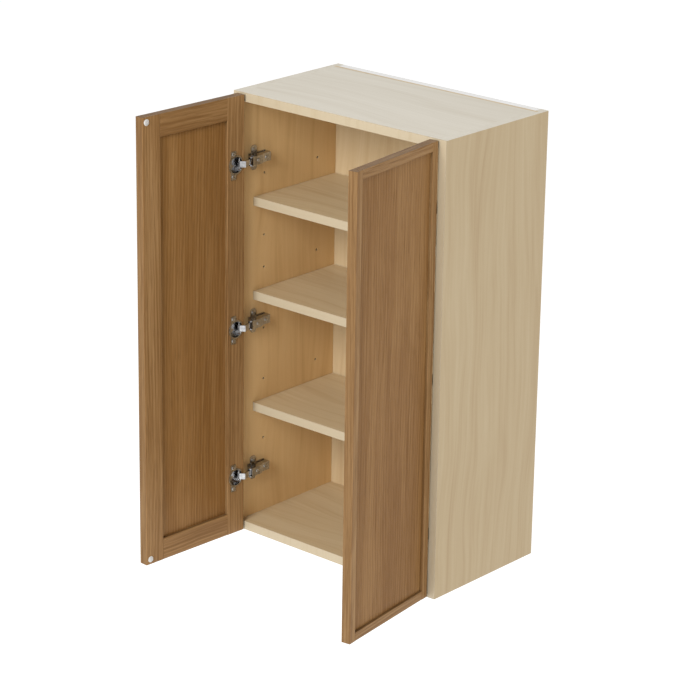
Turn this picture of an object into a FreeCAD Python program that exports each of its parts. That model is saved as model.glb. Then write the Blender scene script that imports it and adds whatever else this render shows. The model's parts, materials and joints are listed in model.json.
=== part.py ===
import FreeCAD, Part
import os
import Sketcher
from FreeCAD import Placement, Rotation, Vector

# Hanging wall cabinet: a frameless carcass with a let-in back and two hanging rails, three
# shelves on pins, and two framed doors, each on three concealed cup hinges.
# The origin is at the bottom centre of the wall plane: +X right, -Y to the front, +Z up.
# Everything on one side is laid out in a side frame: x from the carcass's outer face inwards,
# y from the carcass's front edge to the wall, z up. The right side uses the same frame turned
# half a turn about Y, so its heights are counted down from the cabinet's top.

# ---------------------------------------------------------------- driving sizes (millimetres)
SIZES = [
    ("cabinet_height", 914.4), ("cabinet_width", 533.4), ("cabinet_depth", 304.8),
    ("board_thick", 18.0), ("band_thick", 1.0),
    ("back_thick", 6.0), ("groove_depth", 8.0), ("groove_play", 0.2),
    ("rail_thick", 18.0), ("rail_height", 90.0),
    ("wall_hole_radius", 4.0), ("wall_hole_spacing", 406.4),
    # shelves and their pins; front and rear distances are from the panels' own ends
    ("shelf_lower_height", 245.0), ("shelf_middle_height", 482.0), ("shelf_upper_height", 677.0),
    ("shelf_setback", 37.0), ("shelf_side_play", 1.0), ("shelf_rear_play", 3.0),
    ("pin_front_distance", 69.0), ("pin_rear_distance", 55.0), ("pin_hole_step", 64.0),
    ("pin_hole_radius", 2.6), ("pin_hole_depth", 12.0), ("pin_play", 0.1),
    ("pin_peg_radius", 3.0), ("pin_peg_length", 8.0),
    ("pin_collar_radius", 4.0), ("pin_collar_thick", 0.9), ("pin_shank_length", 10.0),
    # carcass joints
    ("dowel_radius", 4.0), ("dowel_length", 30.0), ("dowel_into_side", 10.0),
    ("dowel_play", 0.1), ("dowel_end_play", 1.0), ("dowel_chamfer", 1.0),
    ("dowel_front_distance", 45.0), ("dowel_rear_distance", 36.0), ("rail_dowel_spread", 54.0),
    ("cam_front_distance", 80.0), ("cam_rear_distance", 72.0),
    ("cam_radius", 7.5), ("cam_height", 12.5), ("cam_play", 0.2), ("cam_reach", 24.0),
    ("cam_channel_past_middle", 3.8),
    ("bolt_radius", 3.0), ("bolt_bore_radius", 4.0), ("bolt_tip_radius", 2.5),
    ("bolt_tip_length", 11.0),
    ("rail_screw_spacing", 160.0), ("rail_screw_length", 45.0),
    ("wood_screw_radius", 2.0), ("wood_screw_head_radius", 4.0), ("wood_screw_head", 2.5),
    ("screw_play", 0.1), ("screw_end_play", 1.0), ("recess_reach", 2.2),
    ("recess_half_width", 0.45), ("recess_depth", 1.2),
    # doors
    ("door_thick", 19.0), ("door_standoff", 2.0), ("door_side_reveal", 1.5),
    ("door_end_reveal", 2.0), ("door_gap", 3.0),
    ("left_open_angle", 93.0), ("right_open_angle", 97.0),
    ("frame_width", 45.0), ("lip_width", 17.5), ("frame_rear_thick", 7.0), ("inset_thick", 7.0),
    ("inset_play", 0.3), ("edge_round", 1.0),
    ("bumper_radius", 6.35), ("bumper_height", 1.9), ("bumper_round", 0.8), ("bumper_inset", 10.5),
    # hinges: the cup's places are from the door's hinge edge and inner face, the arm's from the
    # side panel's inner face and front edge
    ("hinge_lower_height", 122.0), ("hinge_middle_height", 438.0), ("hinge_upper_drop", 139.0),
    ("cup_radius", 17.4), ("cup_play", 0.1), ("cup_depth", 11.0), ("cup_wall", 1.0),
    ("cup_edge_distance", 5.0), ("flange_rim", 1.8), ("flange_thick", 1.2),
    ("wing_length", 58.0), ("wing_width", 14.0), ("wing_offset", 7.0),
    ("wing_corner", 1.5),
    ("rim_notch_half_width", 10.0), ("cup_screw_spacing", 45.0), ("cup_screw_length", 10.0),
    ("cup_screw_radius", 1.6), ("cup_screw_head_radius", 3.6), ("cup_screw_head", 1.4),
    ("arm_pivot_rise", 16.0), ("arm_pivot_back", 13.8),
    ("cup_pivot_edge", 10.4), ("cup_pivot_depth", 3.4), ("link_turn_ratio", 0.43),
    ("link_half_width", 1.5), ("link_half_height", 6.2), ("link_eye_radius", 2.6),
    ("link_bend_rise", 5.7), ("link_tip_reach", 3.2), ("link_tip_drop", 3.9),
    ("link_pin_radius", 1.25), ("link_pin_play", 0.06),
    ("arm_nose_radius", 5.2), ("arm_length", 70.0), ("arm_half_width", 8.8), ("arm_wall", 1.2),
    ("arm_foot_height", 3.5), ("arm_step_place", 42.0), ("arm_slope_length", 7.8),
    ("arm_tail_height", 16.5),
    ("plate_wing_thick", 2.0), ("plate_wing_place", 37.0), ("plate_wing_width", 16.0),
    ("plate_wing_length", 50.0), ("plate_bar_half_width", 10.5), ("plate_bar_start", 22.0),
    ("plate_bar_end", 68.0), ("plate_screw_spacing", 32.0), ("plate_screw_length", 13.0),
    ("plate_screw_radius", 2.5), ("plate_screw_head_radius", 4.2), ("plate_screw_head", 1.6),
    ("adjuster_front_place", 30.0), ("adjuster_rear_place", 58.0), ("adjuster_radius", 2.2),
    ("adjuster_head_radius", 3.4), ("adjuster_head", 1.4), ("adjuster_length", 9.0),
    ("cut_overrun", 2.0),
]

doc = FreeCAD.newDocument("wall_cabinet")
sheet = doc.addObject("Spreadsheet::Sheet", "Sizes")
for row, (alias, number) in enumerate(SIZES, 1):
    sheet.set(f"A{row}", alias)
    sheet.set(f"B{row}", str(number))
    sheet.setAlias(f"B{row}", alias)
doc.recompute()


class Size:
    """A driving size, or one worked out from driving sizes, kept with its expression."""

    def __init__(self, value, text):
        self.value = value
        self.text = text

    def join(self, sign, value, other):
        return Size(value, f"({self.text} {sign} {as_size(other).text})")

    def __add__(self, other):
        return self.join("+", self.value + as_size(other).value, other)

    def __sub__(self, other):
        return self.join("-", self.value - as_size(other).value, other)

    def __mul__(self, other):
        return self.join("*", self.value * as_size(other).value, other)

    def __truediv__(self, other):
        return self.join("/", self.value / as_size(other).value, other)

    def __rsub__(self, other):
        return as_size(other) - self

    def __neg__(self):
        return self * -1


def as_size(number):
    return number if isinstance(number, Size) else Size(float(number), f"{number:g}")


def size(alias):
    return Size(float(sheet.get(alias)), f"Sizes.{alias}")


def root(number):
    return Size(number.value ** 0.5, f"sqrt({number.text})")


def bind(thing, path, number):
    thing.setExpression(path, as_size(number).text)


# ---------------------------------------------------------------- sketches and features
def new_body(name):
    body = doc.addObject("PartDesign::Body", name)
    body.Label = name
    return body


def new_sketch(body, role, offset=0):
    """A sketch on one of the body's own origin planes, moved along the plane's normal."""
    sketch = body.newObject("Sketcher::SketchObject", f"{body.Name}_sketch")
    plane = [item for item in body.Origin.OriginFeatures if item.Role == role][0]
    sketch.AttachmentSupport = [(plane, "")]
    sketch.MapMode = "FlatFace"
    bind(sketch, ".AttachmentOffset.Base.z", offset)
    return sketch


def hold_distance(sketch, kind, geometry, point, number):
    """Hold one coordinate of a sketch point, measured from the sketch's origin."""
    number = as_size(number)
    if number.text == "0":
        axis = -2 if kind == "DistanceX" else -1
        sketch.addConstraint(Sketcher.Constraint("PointOnObject", geometry, point, axis))
        return
    if number.value > 0:
        ends = (-1, 1, geometry, point)
    else:
        ends = (geometry, point, -1, 1)
        number = -number
    index = sketch.addConstraint(Sketcher.Constraint(kind, *ends, number.value))
    bind(sketch, f"Constraints[{index}]", number)


def draw_polygon(sketch, points):
    points = [(as_size(u), as_size(v)) for u, v in points]
    corners = [Vector(u.value, v.value, 0) for u, v in points]
    first = sketch.GeometryCount
    count = len(points)
    for i in range(count):
        sketch.addGeometry(Part.LineSegment(corners[i], corners[(i + 1) % count]))
    for i in range(count):
        after = first + (i + 1) % count
        sketch.addConstraint(Sketcher.Constraint("Coincident", first + i, 2, after, 1))
    for i, (u, v) in enumerate(points):
        hold_distance(sketch, "DistanceX", first + i, 1, u)
        hold_distance(sketch, "DistanceY", first + i, 1, v)


def draw_rectangle(sketch, u0, v0, u1, v1):
    draw_polygon(sketch, [(u0, v0), (u1, v0), (u1, v1), (u0, v1)])


def draw_circle(sketch, u, v, radius):
    u, v, radius = as_size(u), as_size(v), as_size(radius)
    circle = Part.Circle(Vector(u.value, v.value, 0), Vector(0, 0, 1), radius.value)
    geometry = sketch.addGeometry(circle)
    index = sketch.addConstraint(Sketcher.Constraint("Radius", geometry, radius.value))
    bind(sketch, f"Constraints[{index}]", radius)
    hold_distance(sketch, "DistanceX", geometry, 3, u)
    hold_distance(sketch, "DistanceY", geometry, 3, v)


def pad(body, sketch, length):
    feature = body.newObject("PartDesign::Pad", f"{body.Name}_pad")
    feature.Profile = sketch
    bind(feature, "Length", length)
    doc.recompute()


def pocket(body, sketch, depth, along_normal):
    """Cut a sketch into the body, along the plane's normal or against it."""
    before = body.Shape.Volume
    feature = body.newObject("PartDesign::Pocket", f"{body.Name}_pocket")
    feature.Profile = sketch
    feature.Reversed = along_normal
    bind(feature, "Length", depth)
    doc.recompute()
    if body.Shape.Volume > before - 0.01:
        raise RuntimeError(f"{feature.Name} cuts nothing")


def bores(body, role, offset, centres, radius, depth, along_normal):
    sketch = new_sketch(body, role, offset)
    for u, v in centres:
        draw_circle(sketch, u, v, radius)
    pocket(body, sketch, depth, along_normal)


def turned(name, profile):
    """A body turned about Z from a half profile of (radius, height) points."""
    body = new_body(name)
    sketch = new_sketch(body, "XZ_Plane")
    draw_polygon(sketch, profile)
    feature = body.newObject("PartDesign::Revolution", f"{name}_turn")
    feature.Profile = sketch
    feature.ReferenceAxis = (sketch, ["V_Axis"])
    feature.Angle = 360
    doc.recompute()
    return body


def round_edges(body, along, places):
    """Round the straight edges along one axis whose other two coordinates are listed."""
    others = [axis for axis in (0, 1, 2) if axis != along]
    names = []
    for number, edge in enumerate(body.Shape.Edges, 1):
        start, end = edge.firstVertex().Point, edge.lastVertex().Point
        for place in places:
            fits = all(abs(point[axis] - place[k]) < 0.01
                       for point in (start, end) for k, axis in enumerate(others))
            if fits:
                names.append(f"Edge{number}")
    base = body.Tip
    feature = body.newObject("PartDesign::Fillet", f"{body.Name}_round")
    feature.Base = (base, names)
    bind(feature, "Radius", size("edge_round"))
    doc.recompute()


def screw(name, radius, length, head_radius, head_height):
    """A flat-headed screw with a cross recess; the head's top is at z = 0, the tip points down."""
    body = turned(name, [
        (0, 0), (head_radius, 0), (head_radius, -head_height), (radius, -head_height),
        (radius, -length + radius), (radius / 2, -length), (0, -length),
    ])
    reach, half = size("recess_reach"), size("recess_half_width")
    sketch = new_sketch(body, "XY_Plane")
    draw_polygon(sketch, [
        (half, half), (half, reach), (-half, reach), (-half, half), (-reach, half),
        (-reach, -half), (-half, -half), (-half, -reach), (half, -reach), (half, -half),
        (reach, -half), (reach, half),
    ])
    pocket(body, sketch, size("recess_depth"), along_normal=False)
    return body


# ---------------------------------------------------------------- nodes
NODES = []


def node(thing, placement):
    thing.Placement = placement
    NODES.append(thing)


def group(name, pattern, placements):
    """Identical pieces in one node: the pattern piece's solid at each placement."""
    copies = []
    for placement in placements:
        copy = pattern.Shape.copy()
        copy.Placement = placement
        copies.append(copy)
    thing = doc.addObject("Part::Feature", name)
    thing.Label = name
    thing.Shape = Part.makeCompound(copies)
    NODES.append(thing)


def shift(x, y, z):
    place = [as_size(number).value for number in (x, y, z)]
    return Placement(Vector(*place), Rotation())


def turn(axis, angle):
    return Placement(Vector(), Rotation(axis, angle))


X_AXIS, Y_AXIS, Z_AXIS = Vector(1, 0, 0), Vector(0, 1, 0), Vector(0, 0, 1)
POINT_PLUS_X = turn(Y_AXIS, 90)     # lays a piece's own z axis along +X
POINT_PLUS_Y = turn(X_AXIS, -90)    # ... along +Y

# ---------------------------------------------------------------- worked-out sizes
height, width, depth = size("cabinet_height"), size("cabinet_width"), size("cabinet_depth")
board, band = size("board_thick"), size("band_thick")
inner_width = width - board * 2
panel_end = depth - size("rail_thick") - size("back_thick")
rail_middle = depth - size("rail_thick") / 2
shelf_heights = [size(f"shelf_{level}_height") for level in ("lower", "middle", "upper")]
hinge_heights = [size("hinge_lower_height"), size("hinge_middle_height"),
                 height - size("hinge_upper_drop")]
pin_places = [size("pin_front_distance"), panel_end - size("pin_rear_distance")]
dowel_places = [size("dowel_front_distance"), panel_end - size("dowel_rear_distance")]
cam_places = [size("cam_front_distance"), panel_end - size("cam_rear_distance")]
door_width = (width - size("door_gap")) / 2 - size("door_side_reveal")
door_height = height - size("door_end_reveal") * 2
door_thick = size("door_thick")
cup_centre = size("cup_edge_distance") + size("cup_radius") + size("cup_play")
ledge_front = door_thick - size("frame_rear_thick")
arm_pivot_x, arm_pivot_y = board + size("arm_pivot_rise"), size("arm_pivot_back")
cup_pivot_x = size("door_side_reveal") + size("cup_pivot_edge")
cup_pivot_y = -(size("door_standoff") + size("cup_pivot_depth"))

SIDES = {
    "left": shift(width / -2, -depth, 0),
    "right": shift(width / 2, -depth, height) * turn(Y_AXIS, 180),
}


def side_height(side, number):
    """A height above the cabinet's bottom, in the frame of one side."""
    return number if side == "left" else height - number


# ---------------------------------------------------------------- carcass
def side_panel(side):
    body = new_body(f"side_panel_{side}")
    lip = board - size("groove_depth")
    groove_start = panel_end - size("groove_play")
    groove_end = depth - size("rail_thick") + size("groove_play")
    outline = new_sketch(body, "XY_Plane")
    draw_polygon(outline, [
        (0, band), (board, band), (board, groove_start), (lip, groove_start),
        (lip, groove_end), (board, groove_end), (board, depth), (0, depth),
    ])
    pad(body, outline, height)

    pins = []
    for shelf_height in shelf_heights:
        middle = shelf_height - size("pin_peg_radius")
        for step in (-1, 0, 1):
            level = side_height(side, middle + size("pin_hole_step") * step)
            pins += [(place, level) for place in pin_places]
    bores(body, "YZ_Plane", board, pins, size("pin_hole_radius"), size("pin_hole_depth"), False)

    plates = []
    for hinge_height in hinge_heights:
        for sign in (-1, 1):
            level = hinge_height + size("plate_screw_spacing") / 2 * sign
            plates.append((size("plate_wing_place"), side_height(side, level)))
    plate_bore = size("plate_screw_radius") + size("screw_play")
    bores(body, "YZ_Plane", board, plates, plate_bore, size("plate_screw_length"), False)

    ends = (board / 2, height - board / 2)
    dowels = [(place, level) for place in dowel_places for level in ends]
    for middle in (size("rail_height") / 2, height - size("rail_height") / 2):
        dowels += [(rail_middle, middle + size("rail_dowel_spread") / 2 * sign) for sign in (-1, 1)]
    dowel_bore = size("dowel_radius") + size("dowel_play")
    into_side = size("dowel_into_side") + size("dowel_end_play")
    bores(body, "YZ_Plane", board, dowels, dowel_bore, into_side, False)

    bolts = [(place, level) for place in cam_places for level in ends]
    bolt_bore = size("bolt_tip_radius") + size("screw_play")
    into_side = size("bolt_tip_length") + size("screw_end_play")
    bores(body, "YZ_Plane", board, bolts, bolt_bore, into_side, False)
    node(body, SIDES[side])


def end_panel(name, level):
    """Top or bottom panel: bored at both ends for dowels and cam bolts, underneath for cams."""
    body = new_body(name)
    outline = new_sketch(body, "XY_Plane")
    draw_rectangle(outline, 0, band, inner_width, panel_end)
    pad(body, outline, board)
    dowel_bore = size("dowel_radius") + size("dowel_play")
    into_panel = size("dowel_length") - size("dowel_into_side") + size("dowel_end_play")
    dowels = [(place, board / 2) for place in dowel_places]
    bolts = [(place, board / 2) for place in cam_places]
    for offset, inwards in ((0, True), (inner_width, False)):
        bores(body, "YZ_Plane", offset, dowels, dowel_bore, into_panel, inwards)
        bores(body, "YZ_Plane", offset, bolts, size("bolt_bore_radius"), size("cam_reach"), inwards)
    cams = [(place_x, place_y) for place_x in (size("cam_reach"), inner_width - size("cam_reach"))
            for place_y in cam_places]
    cam_bore = size("cam_radius") + size("cam_play")
    bores(body, "XY_Plane", 0, cams, cam_bore, size("cam_height") + size("cam_play"), True)
    screws = [(inner_width / 2 + size("rail_screw_spacing") * step, board / 2)
              for step in (-1, 0, 1)]
    into_panel = size("rail_screw_length") - size("rail_thick") - size("back_thick")
    bores(body, "XZ_Plane", -panel_end, screws, size("wood_screw_radius") + size("screw_play"),
          into_panel + size("screw_end_play"), True)
    node(body, shift(inner_width / -2, -depth, level))


def back_and_rails():
    reach = size("groove_depth") - size("groove_play")
    back_width = inner_width + reach * 2
    wall_levels = (size("rail_height") / 2, height - size("rail_height") / 2)
    screw_levels = (board / 2, height - board / 2)
    screw_steps = [size("rail_screw_spacing") * step for step in (-1, 0, 1)]
    screw_bore = size("wood_screw_radius") + size("screw_play")

    back = new_body("back_panel")
    outline = new_sketch(back, "XY_Plane")
    draw_rectangle(outline, 0, 0, back_width, size("back_thick"))
    pad(back, outline, height)
    holes = [(back_width / 2 + size("wall_hole_spacing") / 2 * sign, level)
             for level in wall_levels for sign in (-1, 1)]
    bores(back, "XZ_Plane", 0, holes, size("wall_hole_radius"), size("back_thick"), False)
    holes = [(back_width / 2 + step, level) for level in screw_levels for step in screw_steps]
    bores(back, "XZ_Plane", 0, holes, screw_bore, size("back_thick"), False)
    node(back, shift(back_width / -2, -size("rail_thick") - size("back_thick"), 0))

    for name, level, screw_level in (
        ("hanging_rail_bottom", as_size(0), board / 2),
        ("hanging_rail_top", height - size("rail_height"), size("rail_height") - board / 2),
    ):
        rail = new_body(name)
        outline = new_sketch(rail, "XY_Plane")
        draw_rectangle(outline, 0, 0, inner_width, size("rail_thick"))
        pad(rail, outline, size("rail_height"))
        middle = size("rail_height") / 2
        holes = [(inner_width / 2 + size("wall_hole_spacing") / 2 * sign, middle)
                 for sign in (-1, 1)]
        bores(rail, "XZ_Plane", 0, holes, size("wall_hole_radius"), size("rail_thick"), False)
        holes = [(inner_width / 2 + step, screw_level) for step in screw_steps]
        bores(rail, "XZ_Plane", 0, holes, screw_bore, size("rail_thick"), False)
        head_bore = size("wood_screw_head_radius") + size("screw_play")
        bores(rail, "XZ_Plane", -size("rail_thick"), holes, head_bore, size("wood_screw_head"), True)
        dowel_bore = size("dowel_radius") + size("dowel_play")
        into_rail = size("dowel_length") - size("dowel_into_side") + size("dowel_end_play")
        dowels = [(size("rail_thick") / 2, middle + size("rail_dowel_spread") / 2 * sign)
                  for sign in (-1, 1)]
        bores(rail, "YZ_Plane", 0, dowels, dowel_bore, into_rail, True)
        bores(rail, "YZ_Plane", inner_width, dowels, dowel_bore, into_rail, False)
        node(rail, shift(inner_width / -2, -size("rail_thick"), level))


def box(name, length_x, length_y, length_z, x, y, z):
    """A plain strip, placed by expressions."""
    strip = doc.addObject("Part::Box", name)
    for path, number in (("Length", length_x), ("Width", length_y), ("Height", length_z),
                         (".Placement.Base.x", x), (".Placement.Base.y", y),
                         (".Placement.Base.z", z)):
        bind(strip, path, number)
    return strip


def compound(name, strips):
    thing = doc.addObject("Part::Compound", name)
    thing.Label = name
    thing.Links = strips
    doc.recompute()
    NODES.append(thing)


def shelves():
    shelf_width = inner_width - size("shelf_side_play") * 2
    shelf_start = size("shelf_setback")
    shelf_depth = panel_end - size("shelf_rear_play") - shelf_start
    for level, shelf_height in zip(("lower", "middle", "upper"), shelf_heights):
        body = new_body(f"shelf_{level}")
        outline = new_sketch(body, "XY_Plane")
        draw_rectangle(outline, 0, band, shelf_width, shelf_depth)
        pad(body, outline, board)
        node(body, shift(shelf_width / -2, shelf_start - depth, shelf_height))
    strips = [box(f"shelf_band_{number}", shelf_width, band, board,
                  shelf_width / -2, shelf_start - depth, shelf_height)
              for number, shelf_height in enumerate(shelf_heights, 1)]
    compound("shelf_edge_bands", strips)


def carcass_bands():
    strips = []
    for name, x in (("left", width / -2), ("right", width / 2 - board)):
        strips.append(box(f"band_{name}", board, band, height, x, -depth, 0))
    for name, z in (("bottom", 0), ("top", height - board)):
        strips.append(box(f"band_{name}", inner_width, band, board, inner_width / -2, -depth, z))
    compound("carcass_edge_bands", strips)


def carcass_fixings():
    chamfer, radius = size("dowel_chamfer"), size("dowel_radius")
    length = size("dowel_length")
    dowel = turned("dowel_pattern", [
        (0, 0), (radius - chamfer, 0), (radius, chamfer), (radius, length - chamfer),
        (radius - chamfer, length), (0, length),
    ])
    ends = (board / 2, height - board / 2)
    spots = [(place, level) for place in dowel_places for level in ends]
    for middle in (size("rail_height") / 2, height - size("rail_height") / 2):
        spots += [(rail_middle, middle + size("rail_dowel_spread") / 2 * sign) for sign in (-1, 1)]
    start = board - size("dowel_into_side")
    group("carcass_dowels", dowel, [SIDES[side] * shift(start, y, z) * POINT_PLUS_X
                                    for side in SIDES for y, z in spots])

    # The bolt screws into the side and its neck ends in the cam; z = 0 is the side's inner face.
    neck, tip = size("bolt_radius"), size("bolt_tip_radius")
    reach = size("cam_reach") - size("cam_play")
    bolt = turned("bolt_pattern", [
        (0, -size("bolt_tip_length")), (tip, -size("bolt_tip_length")), (tip, 0), (neck, 0),
        (neck, reach), (0, reach),
    ])
    spots = [(place, level) for place in cam_places for level in ends]
    group("cam_bolts", bolt, [SIDES[side] * shift(board, y, z) * POINT_PLUS_X
                              for side in SIDES for y, z in spots])

    # The cam is a drum with a channel that takes the bolt's end, and a cross recess below.
    cam = turned("cam_pattern", [
        (0, 0), (size("cam_radius"), 0), (size("cam_radius"), size("cam_height")),
        (0, size("cam_height")),
    ])
    bores(cam, "YZ_Plane", -size("cam_radius"), [(0, board / 2)], size("bolt_bore_radius"),
          size("cam_radius") + size("cam_channel_past_middle"), True)
    reach, half = size("recess_reach"), size("recess_half_width")
    slot = new_sketch(cam, "XY_Plane")
    draw_rectangle(slot, -reach, -half, reach, half)
    pocket(cam, slot, size("recess_depth"), along_normal=True)
    left, right = size("cam_reach"), inner_width - size("cam_reach")
    spots = []
    for level in (as_size(0), height - board):
        for y in cam_places:
            spots.append(shift(inner_width / -2 + left, y - depth, level))
            spots.append(shift(inner_width / -2 + right, y - depth, level) * turn(Z_AXIS, 180))
    group("cam_locks", cam, spots)

    rail_screw = screw("rail_screw_pattern", size("wood_screw_radius"), size("rail_screw_length"),
                       size("wood_screw_head_radius"), size("wood_screw_head"))
    spots = [shift(size("rail_screw_spacing") * step, 0, level) * POINT_PLUS_Y
             for level in ends for step in (-1, 0, 1)]
    group("rail_screws", rail_screw, spots)

    # Shelf pin: z = 0 is the side's inner face, the shank goes into the hole below it.
    shank = size("pin_hole_radius") - size("pin_play")
    collar, peg = size("pin_collar_radius"), size("pin_peg_radius")
    pin = turned("pin_pattern", [
        (0, -size("pin_shank_length")), (shank, -size("pin_shank_length")), (shank, 0),
        (collar, 0), (collar, size("pin_collar_thick")), (peg, size("pin_collar_thick")),
        (peg, size("pin_peg_length")), (0, size("pin_peg_length")),
    ])
    spots = []
    for side in SIDES:
        for shelf_height in shelf_heights:
            level = side_height(side, shelf_height - peg)
            for y in pin_places:
                spots.append(SIDES[side] * shift(board, y, level) * POINT_PLUS_X)
    group("shelf_pins", pin, spots)


# ---------------------------------------------------------------- hinge geometry
# The arm's pivot stands still. The link turns about it as the door opens and carries the cup's
# pivot, about which the door turns the other way, link_turn_ratio times as far.
ARM_PIVOT = Vector(arm_pivot_x.value, arm_pivot_y.value, 0)
CUP_PIVOT = Vector(cup_pivot_x.value, cup_pivot_y.value, 0)
DOOR_CLOSED = shift(size("door_side_reveal"), -size("door_standoff") - door_thick,
                    size("door_end_reveal"))
OPEN = {side: size(f"{side}_open_angle").value for side in SIDES}
LINK_REST = {side: Placement(Vector(), Rotation(Z_AXIS, size("link_turn_ratio").value * OPEN[side]),
                             ARM_PIVOT) for side in SIDES}
CUP_PIVOT_REST = {side: LINK_REST[side].multVec(CUP_PIVOT) for side in SIDES}
DOOR_REST = {side: (Placement(CUP_PIVOT_REST[side], Rotation(Z_AXIS, -OPEN[side]))
                    * Placement(CUP_PIVOT * -1, Rotation()) * DOOR_CLOSED) for side in SIDES}


# ---------------------------------------------------------------- doors
# Door frame: x from the hinge edge to the free edge, y from the outer face to the inner face,
# z up from the door's lower edge. The inset lies on the frame's ledge, behind a slim front lip.
def door_stile(name):
    body = new_body(name)
    lip, frame = size("lip_width"), size("frame_width")
    outline = new_sketch(body, "XY_Plane")
    draw_polygon(outline, [
        (0, 0), (lip, 0), (lip, ledge_front), (frame, ledge_front), (frame, door_thick),
        (0, door_thick),
    ])
    pad(body, outline, door_height)
    thick = door_thick.value
    round_edges(body, 2, [(0, 0), (lip.value, 0), (0, thick), (frame.value, thick)])
    return body


def door_rail(name):
    body = new_body(name)
    lip, frame = size("lip_width"), size("frame_width")
    front = new_sketch(body, "XY_Plane")
    draw_rectangle(front, 0, 0, door_width - lip * 2, ledge_front)
    pad(body, front, lip)
    rear = new_sketch(body, "XY_Plane")
    draw_rectangle(rear, frame - lip, ledge_front, door_width - lip - frame, door_thick)
    pad(body, rear, frame)
    thick = door_thick.value
    round_edges(body, 0, [(0, 0), (0, thick), (lip.value, 0), (thick, 0), (thick, frame.value)])
    return body


def door(side):
    place = SIDES[side] * DOOR_REST[side]
    cups = [(cup_centre, side_height(side, level) - size("door_end_reveal"))
            for level in hinge_heights]
    cup_bore = size("cup_radius") + size("cup_play")
    screws = [(cup_centre + size("wing_offset"), level + size("cup_screw_spacing") / 2 * sign)
              for _, level in cups for sign in (-1, 1)]
    screw_bore = size("cup_screw_radius") + size("screw_play")
    screw_depth = size("cup_screw_length") - size("flange_thick") + size("screw_end_play")

    hinge_stile = door_stile(f"{side}_door_hinge_stile")
    bores(hinge_stile, "XZ_Plane", -door_thick, cups, cup_bore, size("cup_depth"), True)
    bores(hinge_stile, "XZ_Plane", -door_thick, screws, screw_bore, screw_depth, True)
    node(hinge_stile, place)
    free_stile = door_stile(f"{side}_door_free_stile")
    node(free_stile, place * shift(door_width, 0, door_height) * turn(Y_AXIS, 180))

    node(door_rail(f"{side}_door_bottom_rail"), place * shift(size("lip_width"), 0, 0))
    flip = shift(door_width - size("lip_width"), 0, door_height) * turn(Y_AXIS, 180)
    node(door_rail(f"{side}_door_top_rail"), place * flip)

    inset = new_body(f"{side}_door_inset")
    edge = size("lip_width") + size("inset_play")
    outline = new_sketch(inset, "XY_Plane")
    draw_rectangle(outline, edge, ledge_front - size("inset_thick"), door_width - edge, ledge_front)
    pad(inset, outline, door_height - edge * 2)
    lowered = [(x, level - edge) for x, level in cups]
    depth_left = size("cup_depth") - size("frame_rear_thick")
    bores(inset, "XZ_Plane", -ledge_front, lowered, cup_bore, depth_left, True)
    lowered = [(x, level - edge) for x, level in screws]
    depth_left = screw_depth - size("frame_rear_thick")
    bores(inset, "XZ_Plane", -ledge_front, lowered, screw_bore, depth_left, True)
    node(inset, place * shift(0, 0, edge))

    radius, rise, curve = size("bumper_radius"), size("bumper_height"), size("bumper_round")
    bumper = turned(f"{side}_bumper_pattern", [
        (0, 0), (radius, 0), (radius, rise - curve), (radius - curve, rise), (0, rise),
    ])
    inset_x = door_width - size("bumper_inset")
    spots = [place * shift(inset_x, door_thick, z) * POINT_PLUS_Y
             for z in (size("bumper_inset"), door_height - size("bumper_inset"))]
    group(f"{side}_door_bumpers", bumper, spots)


# ---------------------------------------------------------------- hinges
def cup_pattern():
    """Cup and flange: z = 0 is the door's inner face, x runs away from the hinge edge."""
    body = new_body("cup_pattern")
    inner = size("cup_radius") - size("cup_wall")
    drum = new_sketch(body, "XY_Plane", -size("cup_depth"))
    draw_circle(drum, 0, 0, size("cup_radius"))
    pad(body, drum, size("cup_depth"))
    rim = new_sketch(body, "XY_Plane")
    draw_circle(rim, 0, 0, size("cup_radius") + size("flange_rim"))
    pad(body, rim, size("flange_thick"))
    wing = new_sketch(body, "XY_Plane")
    half_long, half_wide = size("wing_length") / 2, size("wing_width") / 2
    corner = size("wing_corner")
    near, far = size("wing_offset") - half_wide, size("wing_offset") + half_wide
    draw_polygon(wing, [
        (near, -half_long + corner), (near + corner, -half_long), (far - corner, -half_long),
        (far, -half_long + corner), (far, half_long - corner), (far - corner, half_long),
        (near + corner, half_long), (near, half_long - corner),
    ])
    pad(body, wing, size("flange_thick"))
    bores(body, "XY_Plane", size("flange_thick"), [(0, 0)], inner,
          size("flange_thick") + size("cup_depth") - size("cup_wall"), False)
    # The rim is cut away on the hinge edge's side, where the link swings over it.
    notch = new_sketch(body, "XY_Plane")
    outer = size("cup_radius") + size("flange_rim")
    half = size("rim_notch_half_width")
    draw_rectangle(notch, -outer - size("cut_overrun"), -half, -inner / 2, half)
    pocket(body, notch, size("flange_thick"), along_normal=True)
    holes = [(size("wing_offset"), size("cup_screw_spacing") / 2 * sign) for sign in (-1, 1)]
    screw_bore = size("cup_screw_radius") + size("screw_play")
    bores(body, "XY_Plane", size("flange_thick"), holes, screw_bore, size("flange_thick"), False)
    # The cup's pin is held in two holes across the drum.
    cross = [(size("cup_pivot_edge") - cup_centre, -size("cup_pivot_depth"))]
    bores(body, "XZ_Plane", -size("cup_radius"), cross, size("link_pin_radius") + size("cup_play"),
          size("cup_radius") * 2, True)
    return body


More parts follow.
